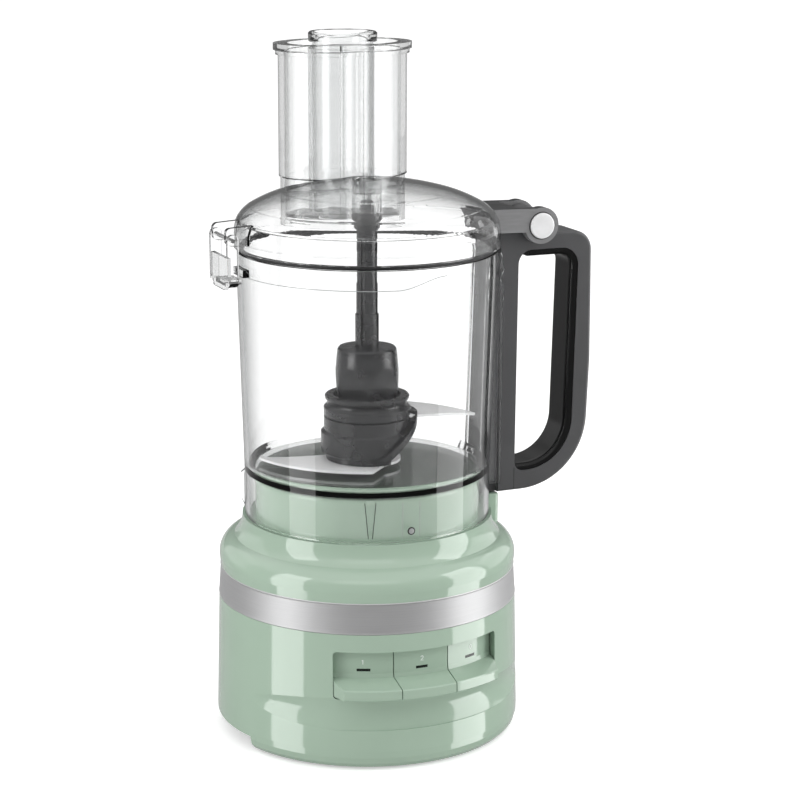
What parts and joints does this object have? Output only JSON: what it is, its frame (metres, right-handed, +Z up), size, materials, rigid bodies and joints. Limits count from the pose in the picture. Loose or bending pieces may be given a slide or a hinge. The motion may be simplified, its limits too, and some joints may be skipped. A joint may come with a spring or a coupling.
{
  "type": "food processor",
  "caption": "Countertop food processor: round motor base with push buttons, clear lift-off bowl with D-handle, crescent blades on a stem, hinged clear lid with feed tube and pushers.",
  "frame": {"origin": "on the spindle axis at table level, under the feet", "axes": "+Z up along the spindle; push buttons face -Y; handle and lid hinge on +X, lid latch on -X; feed tube towards +Y"},
  "size_m": [0.2434, 0.203, 0.4314],
  "materials": {
    "green_plastic": "gloss",
    "satin_band": "brushed",
    "black_plastic": "matte",
    "charcoal_plastic": "satin",
    "soft_grip": "satin",
    "clear_plastic": "clear",
    "rubber": "matte",
    "steel": "ground",
    "blade_steel": "polished",
    "chrome": "satin chrome",
    "lens": "smoked",
    "copper": "enamelled",
    "laminations": "dull",
    "zinc": "cast",
    "board": "matte"
  },
  "bodies": {
    "base": {"lower_housing": "green_plastic", "upper_housing": "green_plastic", "trim_band": "satin_band", "bottom_cover": "black_plastic", "feet": "rubber", "cover_screws": "steel", "cord_gland": "rubber", "switch_bracket": "black_plastic", "push_switches": "black_plastic", "control_board": "board", "interlock_switch": "black_plastic", "stator_core": "laminations", "stator_windings": "copper", "motor_lower_bracket": "zinc", "motor_upper_bracket": "zinc", "lower_bearing": "steel", "upper_bearing": "steel", "motor_bolts": "steel", "motor_mounts": "rubber", "spindle_bush": "zinc"},
    "spindle": {"motor_shaft": "steel", "rotor": "laminations", "cooling_fan": "black_plastic"},
    "bowl": {"bowl": "clear_plastic", "handle_frame": "charcoal_plastic", "handle_grip": "soft_grip"},
    "blade_unit": {"drive_stem": "black_plastic", "blade_hub": "black_plastic", "lower_blade": "blade_steel", "upper_blade": "blade_steel"},
    "lid": {"lid": "clear_plastic", "lid_gasket": "rubber", "hinge_yoke": "charcoal_plastic", "yoke_plate": "charcoal_plastic", "yoke_screws": "steel", "hinge_pin": "steel", "pin_cap_front": "chrome", "pin_cap_back": "chrome", "latch_pin": "steel"},
    "latch": {"latch": "clear_plastic"},
    "food_pusher": {"food_pusher": "clear_plastic"},
    "small_pusher": {"small_pusher": "clear_plastic"},
    "interlock_rod": {"interlock_rod": "steel"},
    "interlock_plunger": {"interlock_plunger": "black_plastic"},
    "button_1": {"button_1": "green_plastic", "button_lens_1": "lens"},
    "button_2": {"button_2": "green_plastic", "button_lens_2": "lens"},
    "button_3": {"button_3": "green_plastic", "button_lens_3": "lens"}
  },
  "joints": [
    {"name": "spindle_spin", "type": "hinge", "parent": "base", "child": "spindle", "pos_m": [0, 0, 0.1], "axis": [0, 0, 1], "continuous": true},
    {"name": "bowl_lift", "type": "slide", "parent": "base", "child": "bowl", "axis": [0, 0, 1], "range_m": [0, 0.1]},
    {"name": "blade_spin", "type": "hinge", "parent": "bowl", "child": "blade_unit", "pos_m": [0, 0, 0.19], "axis": [0, 0, 1], "continuous": true},
    {"name": "lid_hinge", "type": "hinge", "parent": "bowl", "child": "lid", "pos_m": [0.1088, 0, 0.3132], "axis": [0, 1, 0], "range_deg": [0, 95]},
    {"name": "latch_hinge", "type": "hinge", "parent": "lid", "child": "latch", "pos_m": [-0.092, 0, 0.3155], "axis": [0, 1, 0], "range_deg": [0, 60]},
    {"name": "food_pusher_slide", "type": "slide", "parent": "lid", "child": "food_pusher", "axis": [0, 0, 1], "range_m": [0, 0.1]},
    {"name": "small_pusher_slide", "type": "slide", "parent": "food_pusher", "child": "small_pusher", "axis": [0, 0, 1], "range_m": [0, 0.1]},
    {"name": "interlock_rod_slide", "type": "slide", "parent": "bowl", "child": "interlock_rod", "axis": [0, 0, 1], "range_m": [0, 0.003]},
    {"name": "interlock_plunger_slide", "type": "slide", "parent": "base", "child": "interlock_plunger", "axis": [0, 0, 1], "range_m": [0, 0.003]},
    {"name": "button_1_press", "type": "hinge", "parent": "base", "child": "button_1", "pos_m": [-0.0349, -0.071, 0.0735], "axis": [1, 0, 0], "range_deg": [0, 3], "stiffness_Nm_per_rad": 0.25, "springref_deg": -3.44},
    {"name": "button_2_press", "type": "hinge", "parent": "base", "child": "button_2", "pos_m": [0, -0.085, 0.0735], "axis": [1, 0, 0], "range_deg": [0, 3], "stiffness_Nm_per_rad": 0.25, "springref_deg": -3.44},
    {"name": "button_3_press", "type": "hinge", "parent": "base", "child": "button_3", "pos_m": [0.0349, -0.071, 0.0735], "axis": [1, 0, 0], "range_deg": [0, 3], "stiffness_Nm_per_rad": 0.25, "springref_deg": -3.44}
  ],
  "couplings": [
    {"joint": "blade_spin", "follows": "spindle_spin", "ratio": 1},
    {"joint": "interlock_rod_slide", "follows": "lid_hinge", "m_per_rad": 0.0018},
    {"joint": "interlock_plunger_slide", "follows": "lid_hinge", "m_per_rad": 0.0018}
  ]
}
